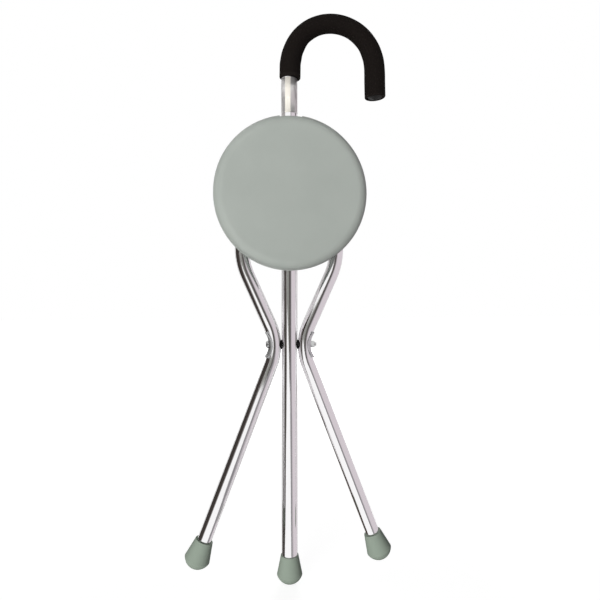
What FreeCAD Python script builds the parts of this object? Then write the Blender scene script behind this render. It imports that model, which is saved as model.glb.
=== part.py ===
# Walking stick seat: a crook-handled stick with two side legs and a round seat folded against it.
# Lengths are in millimetres and angles in degrees. The origin is the tip of the stick's ferrule,
# +Z runs up the stick, +X points to the crook's free end, and the folded seat lies on the -Y side.
import FreeCAD, Part
import math
import os
import re
import Sketcher
from FreeCAD import Placement, Rotation, Vector

# Driving dimensions. Each is written once here and kept in the sheet under its own name.
SIZES = {
    # Stick
    "main_tube_diameter": 25,
    "main_tube_wall": 1.5,
    "bare_stick_above_collar": 63,
    "crook_bend_radius": 67.6,
    "crook_free_limb": 41,
    # Foam grip and the plug in the crook's free end
    "foam_thickness": 3.9,
    "foam_stick_limb": 20,
    "foam_free_limb": 45,
    "foam_rounding": 2.5,
    "plug_spigot": 14,
    "plug_crown": 4,
    "plug_rim": 1,
    "plug_rounding": 1.5,
    # Ferrules
    "ferrule_height": 45,
    "ferrule_rim_radius": 14.1,
    "ferrule_wide_radius": 20.3,
    "ferrule_wide_height": 13.5,
    "ferrule_flat_radius": 7,
    "ferrule_floor": 12,
    "ferrule_rounding": 0.6,
    "washer_thickness": 1.5,
    "washer_clearance": 0.2,
    # Pivot
    "pivot_height": 382,
    "pivot_bolt_diameter": 6,
    "pivot_clearance": 0.05,
    "bush_wall": 2,
    "pressed_width": 21.6,
    "pressed_radius": 17.4,
    "leg_pressed_depth": 0.8,
    "leg_pressed_radius": 36,
    "spacer_radius": 7.5,
    "bolt_head_radius": 6,
    "bolt_head_height": 4,
    "bolt_recess_depth": 1.8,
    "bolt_recess_span": 6,
    "bolt_recess_slot": 1.3,
    "bolt_end": 2.5,
    "bolt_chamfer": 0.6,
    "nut_across_flats": 10,
    "nut_height": 5,
    "nut_collar_height": 1.6,
    "nut_collar_radius": 4.4,
    # Side legs
    "side_tube_diameter": 22,
    "side_tube_wall": 1.2,
    "lower_splay": 20.9,
    "waist_gap": 0.5,
    "waist_bend_depth": 6.7,
    "shoulder_below_hinge": 41.8,
    "shoulder_bend_radius": 105,
    "dent_depth": 4,
    "leg_reach": 373.5,
    "leg_top_margin": 10,
    "leg_plug_spigot": 5,
    "leg_plug_crown": 1.2,
    "leg_plug_edge": 0.3,
    # Saddle plates
    "saddle_radius": 34,
    "saddle_thickness": 1.5,
    "saddle_half_height": 20,
    "saddle_wing_angle": 80,
    "saddle_clearance": 0.15,
    # Fold
    "open_angle": 56.8,
    "seat_hinge_span": 148.2,
    "hinge_bolt_diameter": 6,
    "hinge_head_radius": 5.5,
    "hinge_head_height": 2.8,
    "hinge_bolt_end": 1,
    # Seat shell, whose height is measured from the stick's axis to its top face
    "seat_radius": 117,
    "seat_rise": 44,
    "seat_skirt_gap": 13.5,
    "seat_wall": 3,
    "seat_shoulder": 15,
    "seat_lip_height": 3.5,
    "seat_lip_step": 0.8,
    "collar_inside_edge": 10,
    "hinge_inside_skirt": 8,
    "seat_rib_count": 12,
    "seat_rib_thickness": 2.4,
    "seat_rib_depth": 14,
    "seat_ring_radius": 56,
    "notch_depth": 25.5,
    "boss_radius": 6,
    # Brackets
    "bracket_thickness": 2.5,
    "bracket_side_clearance": 0.6,
    "leg_bracket_stand_off": 16,
    "leg_bracket_foot": 1,
    "leg_bracket_length": 42,
    "leg_ear_radius": 9,
    "collar_bracket_stand_off": 22,
    "collar_bracket_foot": 8,
    "collar_bracket_length": 37,
    "collar_ear_radius": 8,
    "screw_diameter": 4,
    "screw_length": 12,
    "screw_clearance": 0.05,
    "screw_head_radius": 3.8,
    "screw_head_height": 2.4,
    "screw_head_rounding": 1,
    "screw_slot_width": 1,
    "screw_slot_length": 4.6,
    "screw_slot_depth": 1.2,
    "leg_screw_low": 14,
    "leg_screw_high": 32,
    "collar_screw_low": 16,
    "collar_screw_high": 34,
    # Slide collar
    "collar_running_gap": 0.3,
    "collar_wall": 3.7,
    "collar_height": 22,
    "collar_rounding": 1.5,
    "trunnion_diameter": 5,
    "trunnion_head_radius": 4.5,
    "trunnion_head_height": 2.5,
    "stop_pin_diameter": 6,
    "stop_pin_proud": 3.6,
    "stop_pin_rounding": 1,
    "stop_clearance": 0.3,
}

# Lengths that follow from the driving dimensions, each as an expression on their names.
MAIN_RADIUS = "(main_tube_diameter / 2)"
MAIN_BORE_RADIUS = "(main_tube_diameter / 2 - main_tube_wall)"
SIDE_RADIUS = "(side_tube_diameter / 2)"
SIDE_BORE_RADIUS = "(side_tube_diameter / 2 - side_tube_wall)"
TUBE_FOOT = "(ferrule_floor + washer_thickness)"
FOAM_RADIUS = "(main_tube_diameter / 2 + foam_thickness)"
PRESSED_HALF = "(pressed_width / 2)"
BOLT_RADIUS = "(pivot_bolt_diameter / 2)"
PIVOT_BORE_RADIUS = "(pivot_bolt_diameter / 2 + pivot_clearance)"
HINGE_RADIUS = "(hinge_bolt_diameter / 2)"
HINGE_BORE_RADIUS = "(hinge_bolt_diameter / 2 + pivot_clearance)"
HINGE_X = "(seat_hinge_span / 2)"
LEG_EAR_INNER = f"({SIDE_RADIUS} + bracket_side_clearance)"
LEG_EAR_OUTER = f"({LEG_EAR_INNER} + bracket_thickness)"
SKIRT_INNER_RADIUS = "(seat_radius - seat_lip_step - seat_wall)"
# The leg brackets stand just inside the skirt, and the collar's axis just inside the seat's edge.
# The distance between them is the fold's link, which the legs repeat from the pivot up.
HINGE_BELOW_SEAT_CENTRE = (
    f"(sqrt({SKIRT_INNER_RADIUS}^2 - ({HINGE_X} + {LEG_EAR_OUTER})^2) - hinge_inside_skirt)"
)
COLLAR_ABOVE_SEAT_CENTRE = "(seat_radius - collar_inside_edge)"
FOLD_LINK = f"({COLLAR_ABOVE_SEAT_CENTRE} + {HINGE_BELOW_SEAT_CENTRE})"
HINGE_HEIGHT = f"(pivot_height + {FOLD_LINK})"
COLLAR_AXIS_HEIGHT = f"(pivot_height + 2 * {FOLD_LINK})"
SEAT_CENTRE_HEIGHT = f"({HINGE_HEIGHT} + {HINGE_BELOW_SEAT_CENTRE})"
CROOK_CENTRE_HEIGHT = (
    f"({COLLAR_AXIS_HEIGHT} + collar_height / 2 + bare_stick_above_collar + foam_stick_limb)"
)
WAIST_X = "(main_tube_diameter / 2 + waist_gap + side_tube_diameter / 2)"
LEG_PRESSED_X = "(main_tube_diameter / 2 + waist_gap + leg_pressed_depth)"
DENT_X = f"({WAIST_X} + {SIDE_RADIUS} - dent_depth)"
SADDLE_HOLLOW = "(saddle_radius - saddle_thickness - saddle_clearance)"
BOLT_SEAT_X = f"({DENT_X} + saddle_radius - sqrt({SADDLE_HOLLOW}^2 - bolt_head_radius^2))"
# Each leg's two runs would meet at a corner level with the pivot. The waist bend rounds that corner,
# so that the tube just clears the stick.
CORNER_X = f"({WAIST_X} - waist_bend_depth)"
SHOULDER_RISE = f"({FOLD_LINK} - shoulder_below_hinge)"
UPPER_SPLAY = f"(atan(({HINGE_X} - {CORNER_X}) / {SHOULDER_RISE}) / 1 deg)"
HALF_TURN = f"((lower_splay + {UPPER_SPLAY}) / 2)"
HALF_SKEW = f"(({UPPER_SPLAY} - lower_splay) / 2)"
WAIST_BEND_RADIUS = f"(waist_bend_depth / (cos({HALF_SKEW}) / cos({HALF_TURN}) - 1))"
LEG_TUBE_REACH = f"(leg_reach - {TUBE_FOOT})"
LEG_TIP_X = f"({CORNER_X} + leg_reach * sin(lower_splay))"
LEG_TIP_HEIGHT = "(pivot_height - leg_reach * cos(lower_splay))"
SEAT_UNDERSIDE = "(seat_rise - seat_wall)"
COLLAR_RADIUS = "(main_tube_diameter / 2 + collar_running_gap + collar_wall)"
COLLAR_EAR_INNER = f"({COLLAR_RADIUS} + bracket_side_clearance)"
COLLAR_EAR_OUTER = f"({COLLAR_EAR_INNER} + bracket_thickness)"
TRUNNION_RADIUS = "(trunnion_diameter / 2)"
STOP_PIN_RADIUS = "(stop_pin_diameter / 2)"
STOP_PIN_HEIGHT = (
    f"(pivot_height + 2 * {FOLD_LINK} * cos(open_angle)"
    f" - collar_height / 2 - stop_clearance - {STOP_PIN_RADIUS})"
)

# How far outside a face a cut starts, so that it opens the face cleanly
LEAD = "1"

# Points on a sketch: its origin, and the ends and centre of an edge
ORIGIN, START, END, CENTRE = -1, 1, 2, 3

# How near two lengths lie when they are meant to be the same
MATCH = 0.01

doc = FreeCAD.newDocument("WalkingStickSeat")
sheet = doc.addObject("Spreadsheet::Sheet", "Dim")
for row, (alias, size) in enumerate(SIZES.items(), start=1):
    sheet.set(f"A{row}", alias)
    sheet.set(f"B{row}", str(size))
    sheet.setAlias(f"B{row}", alias)
doc.recompute()

pieces = []


def sized(expression):
    """Point each size's name in an expression at the sheet."""
    return re.sub(r"[a-z]\w*", lambda word: f"Dim.{word[0]}" if word[0] in SIZES else word[0], expression)


def number(expression):
    """Give an expression's present value."""
    return float(sheet.evalExpression(sized(expression)))


def keep(piece, label):
    """Name a finished piece and list it for writing."""
    piece.Label = label
    pieces.append(piece)
    return piece


def place(piece, x="0", y="0", z="0", axis=None, angle="0"):
    """Tie a piece's place, and its turn about an axis, to the sheet."""
    if axis:
        piece.Placement = Placement(Vector(), Rotation(axis, number(angle)))
        piece.setExpression("Placement.Rotation.Angle", sized(angle))
    piece.setExpression("Placement.Base.x", sized(x))
    piece.setExpression("Placement.Base.y", sized(y))
    piece.setExpression("Placement.Base.z", sized(z))
    return piece


def new_body(name):
    """Start a part design body."""
    return doc.addObject("PartDesign::Body", name)


def sketch_on(body, name, role, raised="0"):
    """Put a sketch on one of the body's own planes, raised along its normal."""
    sketch = body.newObject("Sketcher::SketchObject", name)
    plane = next(item for item in body.Origin.OriginFeatures if item.Role == role)
    sketch.AttachmentSupport = [(plane, "")]
    sketch.MapMode = "FlatFace"
    sketch.AttachmentOffset = Placement(Vector(0, 0, number(raised)), Rotation())
    sketch.setExpression("AttachmentOffset.Base.z", sized(raised))
    return sketch


def hold(sketch, kind, *where, size):
    """Add a constraint whose value follows the sheet."""
    index = sketch.addConstraint(Sketcher.Constraint(kind, *where, number(size)))
    sketch.setExpression(f"Constraints[{index}]", sized(size))


def hold_point(sketch, edge, point, x, y):
    """Fix a point of an edge at a place on the sketch."""
    hold(sketch, "DistanceX", ORIGIN, START, edge, point, size=x)
    hold(sketch, "DistanceY", ORIGIN, START, edge, point, size=y)


def join(sketch, first, first_point, second, second_point, kind="Coincident"):
    """Join two edges at their ends."""
    sketch.addConstraint(Sketcher.Constraint(kind, first, first_point, second, second_point))


def arc_about(centre, radius, start, end, turn):
    """Make an arc between two points; turn is 1 for anticlockwise and -1 for clockwise."""
    first, last = (start, end) if turn > 0 else (end, start)
    from_angle = math.atan2(first.y - centre.y, first.x - centre.x)
    to_angle = math.atan2(last.y - centre.y, last.x - centre.x)
    if to_angle <= from_angle:
        to_angle += 2 * math.pi
    return Part.ArcOfCircle(Part.Circle(centre, Vector(0, 0, 1), radius), from_angle, to_angle)


def arc_centre(start, end, radius, turn):
    """Find the centre of the shorter arc of a radius between two points."""
    chord = end - start
    reach = math.sqrt(radius ** 2 - (chord.Length / 2) ** 2)
    left = Vector(-chord.y, chord.x, 0).normalize()
    return (start + end) / 2 + left * (turn * reach)


def outline(sketch, corners):
    """Draw a closed loop. A corner is x, y, or x, y, radius, turn where an arc ends at it."""
    places = [Vector(number(corner[0]), number(corner[1]), 0) for corner in corners]
    edges = []
    for index, corner in enumerate(corners):
        start = places[index - 1]
        end = places[index]
        if len(corner) == 2:
            edges.append((sketch.addGeometry(Part.LineSegment(start, end), False), START, END))
            continue
        radius = number(corner[2])
        turn = corner[3]
        arc = arc_about(arc_centre(start, end, radius, turn), radius, start, end, turn)
        ends = (START, END) if turn > 0 else (END, START)
        edges.append((sketch.addGeometry(arc, False), *ends))
    for index, (edge, _, last) in enumerate(edges):
        following, first, _ = edges[(index + 1) % len(edges)]
        join(sketch, edge, last, following, first)
        hold_point(sketch, edge, last, corners[index][0], corners[index][1])
        if len(corners[index]) == 4:
            hold(sketch, "Radius", edge, size=corners[index][2])
    return edges


def circle(sketch, x, y, radius):
    """Draw a circle."""
    centre = Vector(number(x), number(y), 0)
    ring = sketch.addGeometry(Part.Circle(centre, Vector(0, 0, 1), number(radius)), False)
    hold_point(sketch, ring, CENTRE, x, y)
    hold(sketch, "Radius", ring, size=radius)


def rectangle(sketch, left, bottom, right, top):
    """Draw a rectangle between two corners."""
    outline(sketch, [(left, bottom), (right, bottom), (right, top), (left, top)])


def turned(body, name, corners, axis="V_Axis", role="XZ_Plane", raised="0"):
    """Revolve an outline about one axis of its sketch."""
    sketch = sketch_on(body, f"{name}_outline", role, raised)
    outline(sketch, corners)
    solid = body.newObject("PartDesign::Revolution", name)
    solid.Profile = (sketch, [])
    solid.ReferenceAxis = (sketch, [axis])
    solid.Angle = 360
    return solid


def raised_solid(body, name, sketch, length, symmetric=False, reverse=False):
    """Raise a sketch into a solid."""
    pad = body.newObject("PartDesign::Pad", name)
    pad.Profile = (sketch, [])
    pad.setExpression("Length", sized(length))
    pad.SideType = "Symmetric" if symmetric else "One side"
    pad.Reversed = reverse
    return pad


def pocketed(body, name, sketch, length, symmetric=False, reverse=False):
    """Cut a sketch out of the solid."""
    doc.recompute()
    before = body.Shape.Volume
    pocket = body.newObject("PartDesign::Pocket", name)
    pocket.Profile = (sketch, [])
    pocket.setExpression("Length", sized(length))
    pocket.SideType = "Symmetric" if symmetric else "One side"
    pocket.Reversed = reverse
    doc.recompute()
    if not 0 < pocket.Shape.Volume < before:
        raise RuntimeError(f"{name} cuts nothing, or everything, from {body.Name}")
    return pocket


def bored(body, name, role, x, y, radius, length, symmetric=True, reverse=False, raised="0"):
    """Cut a round hole along the normal of one of the body's planes."""
    sketch = sketch_on(body, f"{name}_outline", role, raised)
    circle(sketch, x, y, radius)
    return pocketed(body, name, sketch, length, symmetric, reverse)


def swept(body, name, path, x, y, radii, role, raised):
    """Carry one circle, or two for a tube, along a path."""
    section = sketch_on(body, f"{name}_section", role, raised)
    for radius in radii:
        circle(section, x, y, radius)
    pipe = body.newObject("PartDesign::AdditivePipe", name)
    pipe.Profile = section
    pipe.Spine = (path, [])
    return pipe


def rounded(body, name, radius, wanted):
    """Round the edges whose middle the given test picks."""
    doc.recompute()
    base = body.Tip
    picked = [
        f"Edge{index}"
        for index, edge in enumerate(base.Shape.Edges, start=1)
        if wanted(edge.CenterOfMass, edge)
    ]
    fillet = body.newObject("PartDesign::Fillet", name)
    fillet.Base = (base, picked)
    fillet.setExpression("Radius", sized(radius))
    return fillet


def cut(name, base, tool):
    """Take one solid out of another."""
    difference = doc.addObject("Part::Cut", name)
    difference.Base = base
    difference.Tool = tool
    return difference


# Stick

def crook_path(body, foot, free_end):
    """Draw the stick's centre line: up the stick, round the crook and down its free limb."""
    path = sketch_on(body, "centre_line", "XZ_Plane")
    top = CROOK_CENTRE_HEIGHT
    far = "(2 * crook_bend_radius)"
    corners = [Vector(0, number(foot), 0), Vector(0, number(top), 0)]
    corners += [Vector(number(far), number(top), 0), Vector(number(far), number(free_end), 0)]
    centre = (corners[1] + corners[2]) / 2
    stick = path.addGeometry(Part.LineSegment(corners[0], corners[1]), False)
    bend = arc_about(centre, number("crook_bend_radius"), corners[1], corners[2], -1)
    crook = path.addGeometry(bend, False)
    limb = path.addGeometry(Part.LineSegment(corners[2], corners[3]), False)
    hold_point(path, stick, START, "0", foot)
    hold_point(path, stick, END, "0", top)
    hold_point(path, limb, START, far, top)
    hold_point(path, limb, END, far, free_end)
    join(path, stick, END, crook, END, "Tangent")
    join(path, limb, START, crook, START)
    return path


def pressed_hollows(body, inset):
    """Press a round hollow into both sides of the stick at the pivot, leaving an inset of wall behind."""
    for side, sign in (("left", "-"), ("right", "")):
        centre = f"{sign}({PRESSED_HALF} + pressed_radius)"
        bored(body, f"{side}_hollow", "XZ_Plane", centre, "pivot_height", f"(pressed_radius + {inset})",
              "2 * main_tube_diameter")


def make_stick_tube():
    free_end = f"({CROOK_CENTRE_HEIGHT} - crook_free_limb)"
    outside = new_body("stick_outside")
    path = crook_path(outside, TUBE_FOOT, free_end)
    swept(outside, "stick_solid", path, "0", "0", [MAIN_RADIUS], "XY_Plane", TUBE_FOOT)
    pressed_hollows(outside, "0")
    bush_radius = f"({PIVOT_BORE_RADIUS} + bush_wall)"
    bored(outside, "bush_hole", "YZ_Plane", "0", "pivot_height", bush_radius, "2 * main_tube_diameter")
    bored(outside, "stop_hole", "YZ_Plane", "0", STOP_PIN_HEIGHT, STOP_PIN_RADIUS, "2 * main_tube_diameter")
    inside = new_body("stick_inside")
    path = crook_path(inside, TUBE_FOOT, free_end)
    swept(inside, "stick_bore", path, "0", "0", [MAIN_BORE_RADIUS], "XY_Plane", TUBE_FOOT)
    pressed_hollows(inside, "main_tube_wall")
    keep(cut("stick_tube_cut", outside, inside), "stick_tube")


def make_foam_grip():
    body = new_body("foam_body")
    foot = f"({CROOK_CENTRE_HEIGHT} - foam_stick_limb)"
    free_end = f"({CROOK_CENTRE_HEIGHT} - foam_free_limb)"
    path = crook_path(body, foot, free_end)
    swept(body, "foam_sleeve", path, "0", "0", [FOAM_RADIUS, MAIN_RADIUS], "XY_Plane", foot)
    outer = number(FOAM_RADIUS)
    rounded(body, "foam_ends", "foam_rounding",
            lambda middle, edge: is_round(edge, outer) and at_height(edge, foot, free_end))
    keep(body, "foam_grip")


def is_round(edge, radius):
    """Tell whether an edge is a whole circle of a radius."""
    if not isinstance(edge.Curve, Part.Circle) or not edge.isClosed():
        return False
    return abs(edge.Curve.Radius - radius) < MATCH


def at_height(edge, *heights):
    """Tell whether an edge lies at one of the given heights."""
    return any(abs(edge.CenterOfMass.z - number(height)) < MATCH for height in heights)


def make_crook_plug():
    body = new_body("crook_plug_body")
    head = MAIN_RADIUS
    spigot = MAIN_BORE_RADIUS
    face = "(-(foam_free_limb - crook_free_limb))"
    turned(body, "crook_plug", [
        ("0", f"{face} - plug_crown + plug_rim"),
        (f"{head} - plug_rounding", f"{face} + plug_rim"),
        (head, f"{face} + plug_rim + plug_rounding", "plug_rounding", 1),
        (head, "0"),
        (spigot, "0"),
        (spigot, "plug_spigot"),
        ("0", "plug_spigot"),
    ])
    place(body, x="2 * crook_bend_radius", z=f"{CROOK_CENTRE_HEIGHT} - crook_free_limb")
    keep(body, "crook_end_plug")


# Ferrules, made with the tip at the origin and the tube above it

def make_ferrule(label, tube_radius):
    body = new_body(f"{label}_body")
    rim = "ferrule_rim_radius"
    top = "ferrule_height"
    wide = "ferrule_wide_radius"
    dome_centre = (
        "((ferrule_wide_radius^2 + ferrule_wide_height^2 - ferrule_flat_radius^2)"
        " / (2 * ferrule_wide_height))"
    )
    dome_radius = f"sqrt(ferrule_flat_radius^2 + {dome_centre}^2)"
    turned(body, f"{label}_solid", [
        ("0", "0"),
        ("ferrule_flat_radius", "0"),
        (wide, "ferrule_wide_height", dome_radius, 1),
        (rim, f"{top} - ferrule_rounding"),
        (f"{rim} - ferrule_rounding", top, "ferrule_rounding", 1),
        (tube_radius, top),
        (tube_radius, "ferrule_floor"),
        ("0", "ferrule_floor"),
    ])
    wide_radius = number(wide)
    rounded(body, f"{label}_shoulder", "2 * ferrule_rounding",
            lambda middle, edge: is_round(edge, wide_radius))
    return keep(body, label)


def make_washer(label, tube_radius):
    body = new_body(f"{label}_body")
    sketch = sketch_on(body, f"{label}_outline", "XY_Plane", "ferrule_floor")
    circle(sketch, "0", "0", f"{tube_radius} - washer_clearance")
    raised_solid(body, f"{label}_disc", sketch, "washer_thickness")
    return keep(body, label)


# Pivot pieces, made about an X axis through the origin and raised to the pivot

def make_bush():
    body = new_body("bush_body")
    sketch = sketch_on(body, "bush_outline", "YZ_Plane")
    circle(sketch, "0", "0", f"{PIVOT_BORE_RADIUS} + bush_wall")
    circle(sketch, "0", "0", PIVOT_BORE_RADIUS)
    raised_solid(body, "bush", sketch, "pressed_width", symmetric=True)
    place(body, z="pivot_height")
    keep(body, "pivot_bush")


def make_stop_pin():
    body = new_body("stop_pin_body")
    end = f"({MAIN_RADIUS} + stop_pin_proud)"
    turned(body, "stop_pin", [
        (f"-{end}", "0"),
        (end, "0"),
        (end, f"{STOP_PIN_RADIUS} - stop_pin_rounding"),
        (f"{end} - stop_pin_rounding", STOP_PIN_RADIUS, "stop_pin_rounding", 1),
        (f"stop_pin_rounding - {end}", STOP_PIN_RADIUS),
        (f"-{end}", f"{STOP_PIN_RADIUS} - stop_pin_rounding", "stop_pin_rounding", 1),
    ], axis="H_Axis")
    place(body, z=STOP_PIN_HEIGHT)
    keep(body, "open_stop_pin")


def make_pivot_bolt():
    body = new_body("pivot_bolt_body")
    under_head = f"(-{BOLT_SEAT_X})"
    crown = f"({under_head} - bolt_head_height)"
    end = f"({BOLT_SEAT_X} + nut_height + nut_collar_height + bolt_end)"
    turned(body, "pivot_bolt_solid", [
        (crown, "0"),
        (end, "0"),
        (end, f"{BOLT_RADIUS} - bolt_chamfer"),
        (f"{end} - bolt_chamfer", BOLT_RADIUS),
        (under_head, BOLT_RADIUS),
        (under_head, "bolt_head_radius"),
        (f"{under_head} - bolt_head_height / 3", "bolt_head_radius"),
        (crown, "bolt_head_radius / 2", "0.75 * bolt_head_radius", 1),
    ], axis="H_Axis")
    half = "(bolt_recess_slot / 2)"
    reach = "(bolt_recess_span / 2)"
    sketch = sketch_on(body, "recess_outline", "YZ_Plane", f"{crown} - {LEAD}")
    outline(sketch, [
        (half, half), (half, reach), (f"-{half}", reach), (f"-{half}", half),
        (f"-{reach}", half), (f"-{reach}", f"-{half}"), (f"-{half}", f"-{half}"),
        (f"-{half}", f"-{reach}"), (half, f"-{reach}"), (half, f"-{half}"),
        (reach, f"-{half}"), (reach, half),
    ])
    pocketed(body, "recess", sketch, f"bolt_recess_depth + {LEAD}", reverse=True)
    place(body, z="pivot_height")
    keep(body, "pivot_bolt")


def hexagon(sketch, across_flats):
    """Draw a hexagon about the origin."""
    reach = f"({across_flats} / sqrt(3))"
    outline(sketch, [(f"{reach} * cos({60 * k})", f"{reach} * sin({60 * k})") for k in range(6)])


def make_nut(label, bore_radius):
    """Make a lock nut whose bearing face lies in the YZ plane and whose body runs along +X."""
    body = new_body(f"{label}_body")
    sketch = sketch_on(body, f"{label}_hexagon", "YZ_Plane")
    hexagon(sketch, "nut_across_flats")
    raised_solid(body, f"{label}_hex", sketch, "nut_height")
    ring = sketch_on(body, f"{label}_ring", "YZ_Plane", "nut_height")
    circle(ring, "0", "0", "nut_collar_radius")
    raised_solid(body, f"{label}_collar", ring, "nut_collar_height")
    bored(body, f"{label}_bore", "YZ_Plane", "0", "0", bore_radius, "6 * nut_height")
    collar_radius = number("nut_collar_radius")
    middle_height = number("nut_height + nut_collar_height / 2")
    rounded(body, f"{label}_crown", "nut_collar_height / 2",
            lambda middle, edge: is_round(edge, collar_radius) and middle.x > middle_height)
    return keep(body, label)


# Side legs. Every piece is made for the +X side and turned half round for the other side.

def leg_path(body):
    """Draw a leg's centre line: short upright top, shoulder, waist at the pivot, long lower run."""
    path = sketch_on(body, "centre_line", "XZ_Plane")
    top = f"({HINGE_HEIGHT} + leg_top_margin)"
    foot_x = f"({CORNER_X} + {LEG_TUBE_REACH} * sin(lower_splay))"
    foot_z = f"(pivot_height - {LEG_TUBE_REACH} * cos(lower_splay))"
    corners = [
        (HINGE_X, top),
        (HINGE_X, f"(pivot_height + {SHOULDER_RISE})"),
        (CORNER_X, "pivot_height"),
        (foot_x, foot_z),
    ]
    radii = ["shoulder_bend_radius", WAIST_BEND_RADIUS]
    places = [Vector(number(x), number(y), 0) for x, y in corners]
    reached = places[0]
    lines = []
    bends = []
    for index, radius in enumerate(radii):
        before = (places[index + 1] - places[index]).normalize()
        after = (places[index + 2] - places[index + 1]).normalize()
        turn = math.copysign(1, before.cross(after).z)
        tangent = number(radius) * math.tan(before.getAngle(after) / 2)
        start = places[index + 1] - before * tangent
        end = places[index + 1] + after * tangent
        lines.append(path.addGeometry(Part.LineSegment(reached, start), False))
        centre = start + Vector(-before.y, before.x, 0) * (turn * number(radius))
        bends.append((path.addGeometry(arc_about(centre, number(radius), start, end, turn), False), turn))
        reached = end
    lines.append(path.addGeometry(Part.LineSegment(reached, places[-1]), False))
    hold_point(path, lines[0], START, *corners[0])
    hold_point(path, lines[-1], END, *corners[-1])
    for index, (bend, turn) in enumerate(bends):
        first, last = (START, END) if turn > 0 else (END, START)
        join(path, lines[index], END, bend, first, "Tangent")
        join(path, lines[index + 1], START, bend, last, "Tangent")
        hold(path, "Radius", bend, size=radii[index])
        corner = path.addGeometry(Part.Point(places[index + 1]), True)
        hold_point(path, corner, START, *corners[index + 1])
        for line in (lines[index], lines[index + 1]):
            path.addConstraint(Sketcher.Constraint("PointOnObject", corner, START, line))
    return path, top


def leg_solid(name, radius, inset):
    """Sweep a leg and press it at the pivot, to the saddle plate's curve outside and the spacer's inside."""
    body = new_body(name)
    path, top = leg_path(body)
    swept(body, f"{name}_sweep", path, HINGE_X, "0", [radius], "XY_Plane", top)
    for side, centre, curve in (
        ("outer", f"({DENT_X} + saddle_radius)", "saddle_radius"),
        ("inner", f"({LEG_PRESSED_X} - leg_pressed_radius)", "leg_pressed_radius"),
    ):
        bored(body, f"{name}_{side}_hollow", "XZ_Plane", centre, "pivot_height", f"({curve} + {inset})",
              "2 * side_tube_diameter")
    return body


def make_leg(side, angle):
    outside = leg_solid(f"{side}_leg_outside", SIDE_RADIUS, "0")
    for name, height, radius in (("pivot", "pivot_height", PIVOT_BORE_RADIUS),
                                 ("hinge", HINGE_HEIGHT, HINGE_BORE_RADIUS)):
        bored(outside, f"{side}_{name}_hole", "YZ_Plane", "0", height, radius, "4 * seat_hinge_span")
    inside = leg_solid(f"{side}_leg_inside", SIDE_BORE_RADIUS, "side_tube_wall")
    leg = keep(cut(f"{side}_leg_cut", outside, inside), f"{side}_leg")
    place(leg, axis=Vector(0, 0, 1), angle=angle)
    make_spacer(side, angle)
    make_saddle(side, angle)
    make_leg_plug(side, angle)
    for part, build in (("ferrule", make_ferrule), ("ferrule_washer", make_washer)):
        piece = build(f"{side}_leg_{part}", SIDE_RADIUS)
        sign = "-" if side == "left" else ""
        splay = "lower_splay" if side == "left" else "-lower_splay"
        place(piece, x=f"{sign}{LEG_TIP_X}", z=LEG_TIP_HEIGHT, axis=Vector(0, 1, 0), angle=splay)


def hollow_x(radius):
    """How far from the axis the stick's pressed hollow lies, at a radius about the pivot bolt."""
    return f"({PRESSED_HALF} + pressed_radius - sqrt(pressed_radius^2 - {radius}^2))"


def leg_hollow_x(radius):
    """How far from the stick's axis the leg's pressed hollow lies, at a radius about the pivot bolt."""
    return f"({LEG_PRESSED_X} - leg_pressed_radius + sqrt(leg_pressed_radius^2 - {radius}^2))"


def make_spacer(side, angle):
    """Make the black spacer: a lens that sits in the stick's hollow and in the leg's."""
    body = new_body(f"{side}_spacer_body")
    turned(body, f"{side}_spacer_lens", [
        (leg_hollow_x(PIVOT_BORE_RADIUS), PIVOT_BORE_RADIUS),
        (leg_hollow_x("spacer_radius"), "spacer_radius", "leg_pressed_radius", 1),
        (hollow_x("spacer_radius"), "spacer_radius"),
        (hollow_x(PIVOT_BORE_RADIUS), PIVOT_BORE_RADIUS, "pressed_radius", 1),
    ], axis="H_Axis")
    place(body, z="pivot_height", axis=Vector(0, 0, 1), angle=angle)
    keep(body, f"{side}_spacer")


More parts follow.
